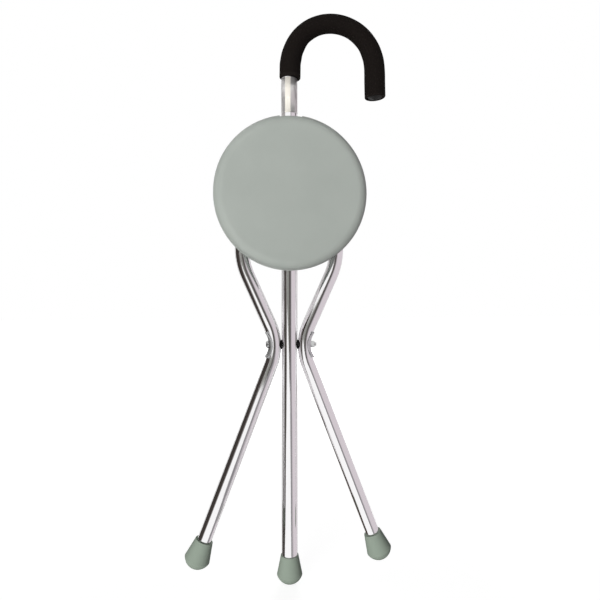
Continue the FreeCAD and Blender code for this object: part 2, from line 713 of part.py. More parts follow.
def make_saddle(side, angle):
    """Make the curved plate under the bolt head or the nut, which wraps the tube's outer side."""
    body = new_body(f"{side}_saddle_body")
    inner = f"({SIDE_RADIUS} + saddle_clearance)"
    outer = f"({inner} + saddle_thickness)"
    seat = f"({SIDE_RADIUS} - dent_depth + saddle_clearance)"
    inner_half = f"sqrt({inner}^2 - {seat}^2)"
    outer_half = f"sqrt({outer}^2 - ({seat} + saddle_thickness)^2)"
    middle = f"({WAIST_X} - {DENT_X} - saddle_radius)"
    across = "sin(saddle_wing_angle)"
    along = "cos(saddle_wing_angle)"
    sketch = sketch_on(body, f"{side}_saddle_outline", "XY_Plane")
    outline(sketch, [
        (f"{middle} + {seat}", inner_half, inner, -1),
        (f"{middle} + {seat}", f"-{inner_half}"),
        (f"{middle} + {inner} * {along}", f"-{inner} * {across}", inner, -1),
        (f"{middle} + {outer} * {along}", f"-{outer} * {across}"),
        (f"{middle} + {seat} + saddle_thickness", f"-{outer_half}", outer, 1),
        (f"{middle} + {seat} + saddle_thickness", outer_half),
        (f"{middle} + {outer} * {along}", f"{outer} * {across}", outer, 1),
        (f"{middle} + {inner} * {along}", f"{inner} * {across}"),
    ])
    plate = body.newObject("PartDesign::Revolution", f"{side}_saddle_plate")
    plate.Profile = (sketch, [])
    plate.ReferenceAxis = (sketch, ["V_Axis"])
    plate.Midplane = True
    plate.Angle = 2 * math.degrees(math.asin(number("saddle_half_height / saddle_radius")))
    plate.setExpression("Angle", sized("2 * asin(saddle_half_height / saddle_radius)"))
    # Seen from the front, each wing's edge is an arc, so that the plate tapers to its two ends.
    tip = f"({middle} + {inner} * {along} + saddle_thickness)"
    back = "(-sqrt(saddle_radius^2 - saddle_half_height^2))"
    sag = f"({back} - {tip})"
    far = "(2 * saddle_half_height)"
    edge = sketch_on(body, f"{side}_saddle_edge", "XZ_Plane")
    outline(edge, [
        (middle, f"-{far}"),
        (back, f"-{far}"),
        (back, "-saddle_half_height"),
        (back, "saddle_half_height", f"((saddle_half_height^2 + {sag}^2) / (2 * {sag}))", -1),
        (back, far),
        (middle, far),
    ])
    pocketed(body, f"{side}_saddle_wings", edge, "4 * side_tube_diameter", symmetric=True)
    bored(body, f"{side}_saddle_hole", "YZ_Plane", "0", "0", f"{BOLT_RADIUS} + saddle_clearance",
          "6 * saddle_radius")
    distance = f"({DENT_X} + saddle_radius)"
    sign = "-" if side == "left" else ""
    place(body, x=f"{sign}{distance}", z="pivot_height", axis=Vector(0, 0, 1), angle=angle)
    keep(body, f"{side}_saddle")


def make_leg_plug(side, angle):
    body = new_body(f"{side}_leg_plug_body")
    turned(body, f"{side}_plug", [
        ("0", "-leg_plug_spigot"),
        (SIDE_BORE_RADIUS, "-leg_plug_spigot"),
        (SIDE_BORE_RADIUS, "0"),
        (f"{SIDE_RADIUS} - leg_plug_edge", "0"),
        (f"{SIDE_RADIUS} - leg_plug_edge - leg_plug_crown", "leg_plug_crown", "leg_plug_crown", 1),
        ("0", "leg_plug_crown"),
    ])
    sign = "-" if side == "left" else ""
    place(body, x=f"{sign}{HINGE_X}", z=f"{HINGE_HEIGHT} + leg_top_margin")
    keep(body, f"{side}_leg_plug")


# Seat shell, made with its axis along Z and its top face up, then tipped on to the stick

def make_seat_shell():
    body = new_body("seat_body")
    lip = "(seat_skirt_gap + seat_lip_height)"
    shoulder = "(seat_rise - seat_shoulder)"
    body_radius = "(seat_radius - seat_lip_step)"
    inner_shoulder = "(seat_shoulder - seat_wall)"
    turned(body, "shell", [
        ("0", "seat_rise"),
        ("0", SEAT_UNDERSIDE),
        (f"{body_radius} - seat_shoulder", SEAT_UNDERSIDE),
        (f"{body_radius} - seat_wall", shoulder, inner_shoulder, -1),
        (f"{body_radius} - seat_wall", "seat_skirt_gap"),
        ("seat_radius", "seat_skirt_gap"),
        ("seat_radius", lip),
        (body_radius, f"{lip} + seat_lip_step"),
        (body_radius, shoulder),
        (f"{body_radius} - seat_shoulder", "seat_rise", "seat_shoulder", 1),
    ])
    ribs = sketch_on(body, "rib_outline", "XZ_Plane")
    rib_foot = f"({SEAT_UNDERSIDE} - seat_rib_depth)"
    rib_end = f"({body_radius} - seat_wall - 0.35 * seat_shoulder)"
    outline(ribs, [
        ("seat_rib_thickness", f"{SEAT_UNDERSIDE} + seat_wall / 2"),
        ("seat_rib_thickness", rib_foot),
        (rib_end, rib_foot),
        (rib_end, f"{SEAT_UNDERSIDE} - 0.3 * seat_rib_depth"),
        (f"{body_radius} - seat_shoulder", f"{SEAT_UNDERSIDE} + seat_wall / 2"),
    ])
    rib = raised_solid(body, "rib", ribs, "seat_rib_thickness", symmetric=True)
    doc.recompute()
    pattern = body.newObject("PartDesign::PolarPattern", "rib_pattern")
    pattern.Originals = [rib]
    pattern.Axis = (ribs, ["V_Axis"])
    pattern.Angle = 360
    pattern.Occurrences = int(number("seat_rib_count"))
    pattern.setExpression("Occurrences", sized("seat_rib_count"))
    body.Tip = pattern
    ring = sketch_on(body, "ring_outline", "XY_Plane", rib_foot)
    for radius in ("seat_ring_radius", "seat_ring_radius - seat_rib_thickness"):
        circle(ring, "0", "0", radius)
    raised_solid(body, "ring_rib", ring, "seat_rib_depth + seat_wall / 2")
    for index, (x, y, foot) in enumerate(boss_places()):
        boss = sketch_on(body, f"boss_{index}_outline", "XY_Plane", foot)
        circle(boss, x, y, "boss_radius")
        raised_solid(body, f"boss_{index}", boss, f"{SEAT_UNDERSIDE} - {foot} + seat_wall / 2")
    for index, (x, y, foot) in enumerate(boss_places()):
        bored(body, f"screw_hole_{index}", "XY_Plane", x, y, "screw_diameter / 2 + screw_clearance",
              "screw_length", symmetric=False, reverse=True, raised=foot)
    notch_half = f"({COLLAR_RADIUS} + bracket_side_clearance)"
    notch = sketch_on(body, "notch_outline", "XY_Plane", f"seat_skirt_gap - {LEAD}")
    rectangle(notch, f"-{notch_half}", f"{COLLAR_ABOVE_SEAT_CENTRE} - collar_height / 2",
              notch_half, "seat_radius + seat_wall")
    pocketed(body, "notch", notch, f"notch_depth + {LEAD}", reverse=True)
    place(body, z=SEAT_CENTRE_HEIGHT, axis=Vector(1, 0, 0), angle="90")
    keep(body, "seat_shell")


def screw_places():
    """List each bracket screw: name, x, height above the seat's centre, and the bracket's stand-off."""
    rows = []
    for side, sign in (("left", "-"), ("right", "")):
        for step in ("low", "high"):
            rise = f"(leg_screw_{step} - {HINGE_BELOW_SEAT_CENTRE})"
            rows.append((f"{side}_bracket_screw_{step}", f"{sign}{HINGE_X}", rise, "leg_bracket_stand_off"))
    for step in ("low", "high"):
        rise = f"({COLLAR_ABOVE_SEAT_CENTRE} - collar_screw_{step})"
        rows.append((f"collar_bracket_screw_{step}", "0", rise, "collar_bracket_stand_off"))
    return rows


def boss_places():
    """List each boss's x, y and foot in the seat's own frame."""
    return [(x, rise, f"({stand_off} + bracket_thickness)") for _, x, rise, stand_off in screw_places()]


def make_bracket_screws():
    """Make the pan-headed screws; their heads lie on the brackets and their shanks in the bosses."""
    for label, x, rise, stand_off in screw_places():
        body = new_body(f"{label}_body")
        turned(body, f"{label}_solid", [
            ("0", "-screw_head_height"),
            ("screw_head_radius - screw_head_rounding", "-screw_head_height"),
            ("screw_head_radius", "screw_head_rounding - screw_head_height", "screw_head_rounding", 1),
            ("screw_head_radius", "0"),
            ("screw_diameter / 2", "0"),
            ("screw_diameter / 2", "screw_length"),
            ("0", "screw_length"),
        ])
        slot = sketch_on(body, f"{label}_slot_outline", "XY_Plane", f"-screw_head_height - {LEAD}")
        rectangle(slot, "-screw_slot_length / 2", "-screw_slot_width / 2",
                  "screw_slot_length / 2", "screw_slot_width / 2")
        pocketed(body, f"{label}_slot", slot, f"screw_slot_depth + {LEAD}", reverse=True)
        place(body, x=x, y=f"-{stand_off}", z=f"{SEAT_CENTRE_HEIGHT} + {rise}",
              axis=Vector(1, 0, 0), angle="90")
        keep(body, label)


# Brackets, made about the X axis of their pin, with the web on the -Y side

def tangent_point(corner, radius, side):
    """Find where a line from a corner touches a circle about the origin."""
    distance = corner.Length
    reach = math.acos(radius / distance) * side
    angle = math.atan2(corner.y, corner.x) + reach
    return Vector(radius * math.cos(angle), radius * math.sin(angle), 0)


def make_bracket(label, stand_off, low, high, ear_radius, inner, outer, pin_radius, screw_heights):
    """Bend a U bracket: a web against the seat and an ear on each side of what it carries."""
    body = new_body(f"{label}_body")
    side_view = sketch_on(body, f"{label}_side_view", "YZ_Plane")
    back = f"(-{stand_off} - bracket_thickness)"
    front = f"(-{stand_off})"
    radius = number(ear_radius)
    low_corner = Vector(number(front), number(low), 0)
    high_corner = Vector(number(front), number(high), 0)
    low_touch = tangent_point(low_corner, radius, 1)
    high_touch = tangent_point(high_corner, radius, -1)
    low_back = Vector(number(back), number(low), 0)
    high_back = Vector(number(back), number(high), 0)
    loop = [high_touch, high_corner, high_back, low_back, low_corner, low_touch]
    lines = [
        side_view.addGeometry(Part.LineSegment(start, end), False)
        for start, end in zip(loop, loop[1:])
    ]
    ear = side_view.addGeometry(arc_about(Vector(), radius, low_touch, high_touch, 1), False)
    for first, second in zip(lines, lines[1:]):
        join(side_view, first, END, second, START)
    for line, (x, y) in zip(lines, [(front, high), (back, high), (back, low), (front, low)]):
        hold_point(side_view, line, END, x, y)
    hold_point(side_view, ear, CENTRE, "0", "0")
    hold(side_view, "Radius", ear, size=ear_radius)
    join(side_view, lines[-1], END, ear, START, "Tangent")
    join(side_view, lines[0], START, ear, END, "Tangent")
    raised_solid(body, f"{label}_blank", side_view, f"2 * {outer}", symmetric=True)
    channel = sketch_on(body, f"{label}_channel_outline", "YZ_Plane")
    rectangle(channel, front, f"{low} - 2 * {ear_radius}", f"2 * {ear_radius}", f"{high} + 2 * {ear_radius}")
    pocketed(body, f"{label}_channel", channel, f"2 * {inner}", symmetric=True)
    bored(body, f"{label}_pin_hole", "YZ_Plane", "0", "0", pin_radius, f"4 * {outer}")
    for index, height in enumerate(screw_heights):
        bored(body, f"{label}_screw_hole_{index}", "XZ_Plane", "0", height,
              "screw_diameter / 2 + screw_clearance", f"4 * {stand_off}")
    return keep(body, label)


def make_brackets():
    for side, sign in (("left", "-"), ("right", "")):
        bracket = make_bracket(
            f"{side}_leg_bracket", "leg_bracket_stand_off", "(-leg_bracket_foot)",
            "(leg_bracket_length - leg_bracket_foot)", "leg_ear_radius", LEG_EAR_INNER, LEG_EAR_OUTER,
            HINGE_RADIUS, ["leg_screw_low", "leg_screw_high"])
        place(bracket, x=f"{sign}{HINGE_X}", z=HINGE_HEIGHT)
    bracket = make_bracket(
        "collar_bracket", "collar_bracket_stand_off", "(-collar_bracket_foot - collar_bracket_length)",
        "(-collar_bracket_foot)", "collar_ear_radius", COLLAR_EAR_INNER, COLLAR_EAR_OUTER,
        f"{TRUNNION_RADIUS} + pivot_clearance", ["-collar_screw_low", "-collar_screw_high"])
    place(bracket, z=COLLAR_AXIS_HEIGHT)


def make_hinge_bolts():
    """Make a low-headed bolt and a nut for each leg's top; the head is on the outer side."""
    for side, sign, angle in (("left", "-", "180"), ("right", "", "0")):
        body = new_body(f"{side}_hinge_bolt_body")
        end = f"({LEG_EAR_OUTER} + nut_height + nut_collar_height + hinge_bolt_end)"
        head = f"({LEG_EAR_OUTER} + hinge_head_height)"
        turned(body, f"{side}_hinge_bolt_solid", [
            (f"-{end}", "0"),
            (head, "0"),
            (head, "hinge_head_radius / 2"),
            (LEG_EAR_OUTER, "hinge_head_radius", "hinge_head_radius", -1),
            (LEG_EAR_OUTER, HINGE_RADIUS),
            (f"-{end}", HINGE_RADIUS),
        ], axis="H_Axis")
        place(body, x=f"{sign}{HINGE_X}", z=HINGE_HEIGHT, axis=Vector(0, 0, 1), angle=angle)
        keep(body, f"{side}_hinge_bolt")
        nut = make_nut(f"{side}_hinge_nut", HINGE_RADIUS)
        other = "0" if side == "left" else "180"
        place(nut, x=f"{sign}({HINGE_X} - {LEG_EAR_OUTER})", z=HINGE_HEIGHT,
              axis=Vector(0, 0, 1), angle=other)


# Slide collar, made about its own centre

def make_collar():
    body = new_body("collar_body")
    sketch = sketch_on(body, "collar_outline", "XY_Plane")
    circle(sketch, "0", "0", COLLAR_RADIUS)
    circle(sketch, "0", "0", f"{MAIN_RADIUS} + collar_running_gap")
    raised_solid(body, "collar_ring", sketch, "collar_height", symmetric=True)
    bored(body, "trunnion_hole", "YZ_Plane", "0", "0", TRUNNION_RADIUS, f"4 * {COLLAR_RADIUS}")
    outer = number(COLLAR_RADIUS)
    rounded(body, "collar_ends", "collar_rounding", lambda middle, edge: is_round(edge, outer))
    place(body, z=COLLAR_AXIS_HEIGHT)
    keep(body, "slide_collar")
    for side, angle in (("left", "180"), ("right", "0")):
        screw = new_body(f"{side}_collar_screw_body")
        start = f"({MAIN_RADIUS} + 2 * collar_running_gap)"
        head = f"({COLLAR_EAR_OUTER} + pivot_clearance)"
        tip = f"({head} + trunnion_head_height)"
        turned(screw, f"{side}_trunnion", [
            (start, "0"),
            (tip, "0"),
            (tip, "trunnion_head_radius / 2"),
            (head, "trunnion_head_radius", "trunnion_head_radius", -1),
            (head, TRUNNION_RADIUS),
            (start, TRUNNION_RADIUS),
        ], axis="H_Axis")
        place(screw, z=COLLAR_AXIS_HEIGHT, axis=Vector(0, 0, 1), angle=angle)
        keep(screw, f"{side}_collar_screw")


make_stick_tube()
make_foam_grip()
make_crook_plug()
make_ferrule("stick_ferrule", MAIN_RADIUS)
make_washer("stick_ferrule_washer", MAIN_RADIUS)
make_bush()
make_stop_pin()
make_pivot_bolt()
pivot_nut = make_nut("pivot_nut", BOLT_RADIUS)
place(pivot_nut, x=BOLT_SEAT_X, z="pivot_height")
make_leg("left", "180")
make_leg("right", "0")
make_seat_shell()
make_brackets()
make_bracket_screws()
make_hinge_bolts()
make_collar()
doc.recompute()

for item in doc.Objects:
    if "Invalid" in item.State or "Error" in item.State:
        raise RuntimeError(f"{item.Name} failed: {item.State}")
os.makedirs("parts", exist_ok=True)
for piece in pieces:
    if piece.Shape.isNull() or not piece.Shape.isValid() or not piece.Shape.Solids:
        raise RuntimeError(f"{piece.Label} has no sound shape")
    piece.Shape.exportStep(f"parts/{piece.Label}.step")
    print(piece.Label, round(piece.Shape.Volume / 1000, 2), "cm3", len(piece.Shape.Solids), "solid")
print("pieces", len(pieces))
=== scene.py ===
"""Finishes and studio for a folding walking stick seat, as a Blender 4.5 add-on.

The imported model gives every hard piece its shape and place. This file gives each of them its real
finish, builds the foam grip and the label, and sets up the studio. All lengths are in metres.
"""

import math

import bmesh
import bpy
from bpy.props import (
    FloatProperty,
    FloatVectorProperty,
    PointerProperty,
    StringProperty,
)
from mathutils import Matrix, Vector


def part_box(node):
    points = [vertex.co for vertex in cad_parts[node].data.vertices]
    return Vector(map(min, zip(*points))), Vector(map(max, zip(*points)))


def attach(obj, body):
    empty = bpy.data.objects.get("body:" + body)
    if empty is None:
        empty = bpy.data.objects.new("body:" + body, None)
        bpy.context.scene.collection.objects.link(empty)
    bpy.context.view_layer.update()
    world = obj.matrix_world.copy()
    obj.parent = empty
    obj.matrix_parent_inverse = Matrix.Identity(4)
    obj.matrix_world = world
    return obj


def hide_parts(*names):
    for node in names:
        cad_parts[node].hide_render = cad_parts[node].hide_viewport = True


bl_info = {
    "name": "Walking Stick Seat",
    "version": (1, 0, 0),
    "blender": (4, 5, 0),
    "location": "3D View > Sidebar > Stick Seat",
    "description": "Finishes, foam grip, label and studio for a folding walking stick seat",
    "category": "Object",
}

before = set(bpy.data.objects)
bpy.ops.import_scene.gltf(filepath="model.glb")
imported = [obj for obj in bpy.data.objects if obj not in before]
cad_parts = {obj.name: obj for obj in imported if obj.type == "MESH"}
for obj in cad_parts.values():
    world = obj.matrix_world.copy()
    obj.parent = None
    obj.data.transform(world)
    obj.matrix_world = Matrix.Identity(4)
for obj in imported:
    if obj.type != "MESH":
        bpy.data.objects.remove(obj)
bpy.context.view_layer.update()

MM = 0.001
WHITE = "#FFFFFF"

# The stick's straight part and the foam both stand on the frame's Z axis, so their lowest X is a radius.
FOAM_LOW, FOAM_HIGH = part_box("foam_grip")
FOAM_RADIUS = -FOAM_LOW.x
TUBE_RADIUS = -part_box("stick_tube")[0].x
CROOK_RADIUS = (FOAM_HIGH.x - FOAM_RADIUS) / 2
CROOK_CENTRE = FOAM_HIGH.z - CROOK_RADIUS - FOAM_RADIUS

# The tubes, each with the lean in degrees of the run that shows most, which its hairlines follow
TUBE_LEANS = {"stick_tube": 0, "left_leg": 21, "right_leg": -21}
FERRULES = ("stick_ferrule", "left_leg_ferrule", "right_leg_ferrule")
BLACK_MOULDINGS = (
    "crook_end_plug",
    "left_leg_plug",
    "right_leg_plug",
    "left_spacer",
    "right_spacer",
    "slide_collar",
)
PRESSED_PLATES = (
    "left_saddle",
    "right_saddle",
    "left_leg_bracket",
    "right_leg_bracket",
    "collar_bracket",
)
FIXINGS = (
    "pivot_bush",
    "open_stop_pin",
    "pivot_bolt",
    "pivot_nut",
    "left_hinge_bolt",
    "right_hinge_bolt",
    "left_hinge_nut",
    "right_hinge_nut",
    "left_collar_screw",
    "right_collar_screw",
    "left_bracket_screw_low",
    "left_bracket_screw_high",
    "right_bracket_screw_low",
    "right_bracket_screw_high",
    "collar_bracket_screw_low",
    "collar_bracket_screw_high",
    "stick_ferrule_washer",
    "left_leg_ferrule_washer",
    "right_leg_ferrule_washer",
)

# How the foam lies on the tube, along the crook: (place, outside radius, shift of the outside towards
# +X). The place is in degrees round the bend, with the limbs counted on at the same rate, and the rest
# is in millimetres. The sleeve is stretched thinner round the top, and pushed inwards where the bend
# begins and ends.
FOAM_LIE = (
    (-20, 16.4, 1.0),
    (0, 16.4, 1.3),
    (9, 16.3, 1.9),
    (24, 15.6, 1.8),
    (48, 14.5, 0.6),
    (75, 14.1, 0.0),
    (110, 14.2, 0.0),
    (140, 15.0, -0.4),
    (160, 15.8, -0.9),
    (172, 16.1, -0.7),
    (190, 16.4, 0.0),
    (225, 16.4, 0.8),
)
# How much the cut ends rise away from the middle of the crook's plane: at the foot of the stick's limb,
# and at the free end. The sleeve was cut by hand, a little out of square.
FOAM_SLANTS = (0.05, 0.07)
# Turns of the rounding at the foam's ends, in degrees
FOAM_ROUNDING = (0, 18, 36, 54, 72, 90)
# The sleeve's mouth stands off the tube, and widens at its very end
FOAM_BORE_GAP = 0.05 * MM
FOAM_MOUTH_GAP = 0.4 * MM
FOAM_MOUTH_FLARE = 0.8 * MM
FOAM_MOUTH_DEPTH = 0.5 * MM
# The real cells are about 0.3 mm across, too fine to show here, so they are drawn three times as coarse.
FOAM_CELL = 0.9 * MM
# Points round the sleeve, and steps along the stick's limb, the bend and the free limb
FOAM_AROUND = 72
FOAM_STICK_STEPS, FOAM_BEND_STEPS, FOAM_FREE_STEPS = 8, 96, 16

# Turns round the stick's axis from straight in front, in degrees: the label's sides, and its panel's
LABEL_SIDES = (-72, 72)
PANEL_SIDES = (-36, 4)
LABEL_STEPS = 36
# What keeps the label's inside off the tube
LABEL_GAP = 0.01 * MM

# Cards that only reflections see, as a name, a colour and rows of (height in metres, from, to). The
# angles are turns towards +X from straight in front of the stick, in degrees, and a card's edges run
# straight from row to row. Rows below the floor are what the lower sides of the tubes reflect.
CARDS = (
    ("dark_card_left", "#3E3936", (
        (-0.90, -126, -90), (-0.62, -126, -74), (-0.20, -126, -63), (0.10, -126, -57),
        (0.50, -126, -57), (0.62, -126, -42), (0.90, -126, -42), (1.02, -126, -55),
    )),
    ("grey_card_left", "#7C7876", (
        (-0.62, -74, -68), (-0.20, -63, -56), (0.10, -57, -47),
        (0.45, -57, -42), (0.52, -55, -42), (0.60, -44, -42),
    )),
    ("pale_card_left", "#AEAAA8", ((-0.20, -56, -52), (0.10, -47, -41), (0.45, -42, -40))),
    ("low_card_left", "#4A403A", (
        (-3.40, -147, -84), (-1.90, -147, -88), (-1.45, -147, -92),
        (-1.15, -147, -112), (-0.92, -147, -124), (-0.50, -147, -135),
    )),
    ("high_card_left", "#A9A6A5", ((0.98, -135, -66), (1.80, -135, -66))),
    ("grey_card_front", "#8B8C87", (
        (0.17, -14, -12), (0.28, -26, -12), (0.38, -40, -12), (0.70, -40, -12), (0.82, -40, -32),
    )),
    ("dark_card_front", "#5B5755", (
        (0.02, -3, 8), (0.10, -8, 11), (0.17, -12, 13), (0.82, -12, 13),
    )),
    ("near_card_right", "#8A878A", (
        (-3.40, 48, 74), (-1.60, 48, 74), (-1.11, 37, 62), (-0.93, 30, 50), (-0.80, 22, 40),
        (-0.58, 15, 31), (-0.36, 11, 29), (-0.145, 6, 27), (0.07, 4, 20), (0.20, 13, 18),
        (1.60, 13, 18),
    )),
    ("middle_card_right", "#B0ABAE", (
        (-3.40, 74, 90), (-1.60, 74, 90), (-1.11, 62, 82), (-0.93, 50, 62), (-0.80, 40, 55),
        (-0.58, 31, 45), (-0.36, 29, 39), (-0.145, 27, 36), (0.07, 20, 27), (0.20, 18, 25),
        (1.80, 18, 27),
    )),
    ("wide_card_right", "#D6CED3", (
        (-3.40, 90, 135), (-1.60, 90, 135), (-1.11, 82, 135), (-0.93, 62, 135), (-0.80, 55, 135),
        (-0.58, 45, 135), (-0.36, 39, 135), (-0.145, 36, 135), (0.07, 27, 135), (0.20, 25, 135),
        (2.20, 27, 135),
    )),
    ("dark_card_back_right", "#5A5654", ((-3.40, 146, 162), (1.40, 146, 162))),
    ("dark_card_back_left", "#5A5654", ((-3.40, -164, -148), (1.40, -164, -148))),
)
# How far from the stick the cards hang, in metres, and the steps that each row is divided into
CARD_DISTANCE = 1.5
CARD_STEPS = 12

# Half the floor's side, and how far from the stick the soft boxes stand and where they aim, in metres
FLOOR_REACH = 6.0
LAMP_DISTANCE = 3.0
LAMP_TARGET = (0, 0, 0.5)
# Width of the camera's sensor, in millimetres
SENSOR_WIDTH = 36


class StickSeatColours(bpy.types.PropertyGroup):
    """Colours as sRGB hex values."""

    tube: StringProperty(name="Tube", description="Polished aluminium", default="#FCFBFC")
    tube_hairline: StringProperty(
        name="Tube Hairlines", description="Hairlines in the polish", default="#F2F1F2",
    )
    foam: StringProperty(name="Foam", description="Skin of the foam grip", default="#201C1A")
    # Painted shade: the foam's pits are drawn in this darker colour
    foam_pit_shade: StringProperty(name="Foam Pit Shade", description="Painted shade in the foam's open cells", default="#100D0C")
    foam_cut: StringProperty(name="Cut Foam", description="Cut ends of the foam", default="#231F1D")
    seat: StringProperty(name="Seat", description="Seat plastic", default="#A8AEA8")
    rubber: StringProperty(name="Rubber", description="Ferrule rubber", default="#94A093")
    rubber_scuff: StringProperty(
        name="Rubber Scuff", description="Worn foot of the ferrules", default="#727E71",
    )
    plate: StringProperty(name="Plate", description="Pressed steel plates", default="#E4E5E4")
    fixing: StringProperty(
        name="Fixings", description="Bolts, nuts, screws and washers", default="#DEDEDC",
    )
    zinc_bloom: StringProperty(name="Zinc Bloom", description="Clouds in the zinc", default="#B4B7B9")
    moulding: StringProperty(
        name="Black Mouldings", description="Plugs, spacers and collar", default="#141313",
    )
    label: StringProperty(name="Label", description="Silver label film", default="#DEDBDA")
    label_wave: StringProperty(name="Label Waves", description="Waves in the film", default="#D2D0CF")
    label_paper: StringProperty(
        name="Label Panel", description="Pale panel of the label", default="#FFFBF2",
    )
    label_paper_wave: StringProperty(
        name="Label Panel Waves", description="Waves in the pale panel", default="#FAF4E8",
    )
    floor_shade: StringProperty(
        name="Floor", description="Paint of the floor as the camera sees it", default="#A6A6A6",
    )
    floor_bounce: StringProperty(
        name="Floor Bounce", description="Paint that lights the object from below", default="#D8D8D8",
    )


class StickSeatSizes(bpy.types.PropertyGroup):
    """Lengths of the pieces that are built here."""

    foam_edge: FloatProperty(
        name="Foam Edge", description="Rounding of the foam's ends",
        default=2.6 * MM, unit="LENGTH", precision=5,
    )
    label_low: FloatProperty(
        name="Label Foot", description="Height of the label's lower edge",
        default=741 * MM, unit="LENGTH", precision=5,
    )
    label_high: FloatProperty(
        name="Label Head", description="Height of the label's upper edge",
        default=795 * MM, unit="LENGTH", precision=5,
    )
    label_thickness: FloatProperty(
        name="Label Thickness", description="Film and glue together",
        default=0.12 * MM, unit="LENGTH", precision=5,
    )


class StickSeatStudio(bpy.types.PropertyGroup):
    """Camera, lamps and floor. Angles are turns towards +X from straight in front."""

    camera_place: FloatVectorProperty(
        name="Camera Place", description="Where the camera stands",
        default=(-0.0627, -0.8329, 0.4807), subtype="TRANSLATION", unit="LENGTH", precision=4,
    )
    camera_yaw: FloatProperty(
        name="Camera Yaw", description="Turn towards +X",
        default=math.radians(5.76), subtype="ANGLE", unit="ROTATION",
    )
    camera_pitch: FloatProperty(
        name="Camera Pitch", description="Tilt upwards",
        default=math.radians(-1.79), subtype="ANGLE", unit="ROTATION",
    )
    camera_lens: FloatProperty(
        name="Lens", description="Focal length in millimetres on a 36 mm sensor", default=31.82,
    )
    camera_shift: FloatVectorProperty(
        name="Shift", description="Lens shift, as a share of the frame",
        default=(-0.0049, -0.0028), size=2,
    )
    lamp_angle: FloatProperty(
        name="Lamp Angle", description="Turn of the soft box",
        default=math.radians(-28), subtype="ANGLE", unit="ROTATION",
    )
    lamp_height: FloatProperty(
        name="Lamp Height", description="Height of the soft box's middle",
        default=0.32, unit="LENGTH",
    )
    lamp_size: FloatVectorProperty(
        name="Lamp Size", description="Width and height of the soft box",
        default=(1.3, 0.6), size=2, unit="LENGTH",
    )
    lamp_power: FloatProperty(
        name="Lamp Power", description="Power of the soft box", default=80, unit="POWER",
    )
    fill_angle: FloatProperty(
        name="Fill Angle", description="Turn of the weak soft box behind",
        default=math.radians(168), subtype="ANGLE", unit="ROTATION",
    )
    fill_height: FloatProperty(
        name="Fill Height", description="Height of the weak soft box's middle",
        default=0.7, unit="LENGTH",
    )
    fill_size: FloatVectorProperty(
        name="Fill Size", description="Width and height of the weak soft box",
        default=(1.5, 1.2), size=2, unit="LENGTH",
    )
    fill_power: FloatProperty(
        name="Fill Power", description="Power of the weak soft box", default=64, unit="POWER",
    )
    sky_level: FloatProperty(
        name="Sky Level", description="Level of the soft light from all round", default=0.14,
    )


def linear(code):
    """Turn an sRGB hex value into linear red, green, blue and alpha."""
    channels = [int(code[place:place + 2], 16) / 255 for place in (1, 3, 5)]
    return [c / 12.92 if c <= 0.04045 else ((c + 0.055) / 1.055) ** 2.4 for c in channels] + [1.0]


def add_node(material, kind, settings=None, values=None, links=None):
    """Add a shader node, set its options and socket values, and link its inputs."""
    node = material.node_tree.nodes.new(kind)
    for name, value in (settings or {}).items():
        setattr(node, name, value)
    for name, value in (values or {}).items():
        node.inputs[name].default_value = value
    for name, source in (links or {}).items():
        material.node_tree.links.new(source, node.inputs[name])
    return node


def new_material(name):
    """Make an empty material with its output node."""
    material = bpy.data.materials.new(name)
    material.use_nodes = True
    material.node_tree.nodes.clear()
    return material, add_node(material, "ShaderNodeOutputMaterial")


def dress(nodes, material):
    """Give CAD nodes a material in place of their plain one."""
    for name in nodes:
        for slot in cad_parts[name].material_slots:
            slot.material = material


def polished_aluminium(name, lean):
    """Drawn aluminium tube, buffed bright: near mirror, with hairlines that run along the tube."""
    colours = bpy.context.scene.stick_seat_colours
    material, output = new_material(name)
    place = add_node(material, "ShaderNodeTexCoord").outputs["Object"]
    along = add_node(material, "ShaderNodeMapping", {"vector_type": "TEXTURE"},
                     {"Rotation": (0, lean, 0)}, {"Vector": place})
    # Real hairlines are under 0.1 mm wide, too fine to show here, so they are drawn five times as wide.
    hairline_width, hairline_length, smear = 0.5 * MM, 90 * MM, 35 * MM
    stretched = add_node(material, "ShaderNodeMapping", None,
                         {"Scale": (1 / hairline_width, 1 / hairline_width, 1 / hairline_length)},
                         {"Vector": along.outputs["Vector"]})
    hairlines = add_node(material, "ShaderNodeTexNoise", None,
                         {"Scale": 1.0, "Detail": 2.0, "Roughness": 0.6},
                         {"Vector": stretched.outputs["Vector"]})
    smears = add_node(material, "ShaderNodeTexNoise", None,
                      {"Scale": 1 / smear, "Detail": 3.0, "Roughness": 0.55}, {"Vector": place})
    polish = add_node(material, "ShaderNodeMath", {"operation": "MULTIPLY_ADD"},
                      {1: 0.08, 2: 0.03}, {0: hairlines.outputs["Fac"]})
    roughness = add_node(material, "ShaderNodeMath", {"operation": "MULTIPLY_ADD"},
                         {1: 0.05}, {0: smears.outputs["Fac"], 2: polish.outputs["Value"]})
    tint = add_node(material, "ShaderNodeMix", {"data_type": "RGBA"},
                    {6: linear(colours.tube_hairline), 7: linear(colours.tube)},
                    {0: hairlines.outputs["Fac"]})
    relief = add_node(material, "ShaderNodeBump", None,
                      {"Strength": 0.12, "Distance": 0.02 * MM}, {"Height": hairlines.outputs["Fac"]})
    metal = add_node(material, "ShaderNodeBsdfPrincipled", None, {"Metallic": 1.0},
                     {"Base Color": tint.outputs[2], "Roughness": roughness.outputs["Value"],
                      "Normal": relief.outputs["Normal"]})
    material.node_tree.links.new(metal.outputs["BSDF"], output.inputs["Surface"])
    return material


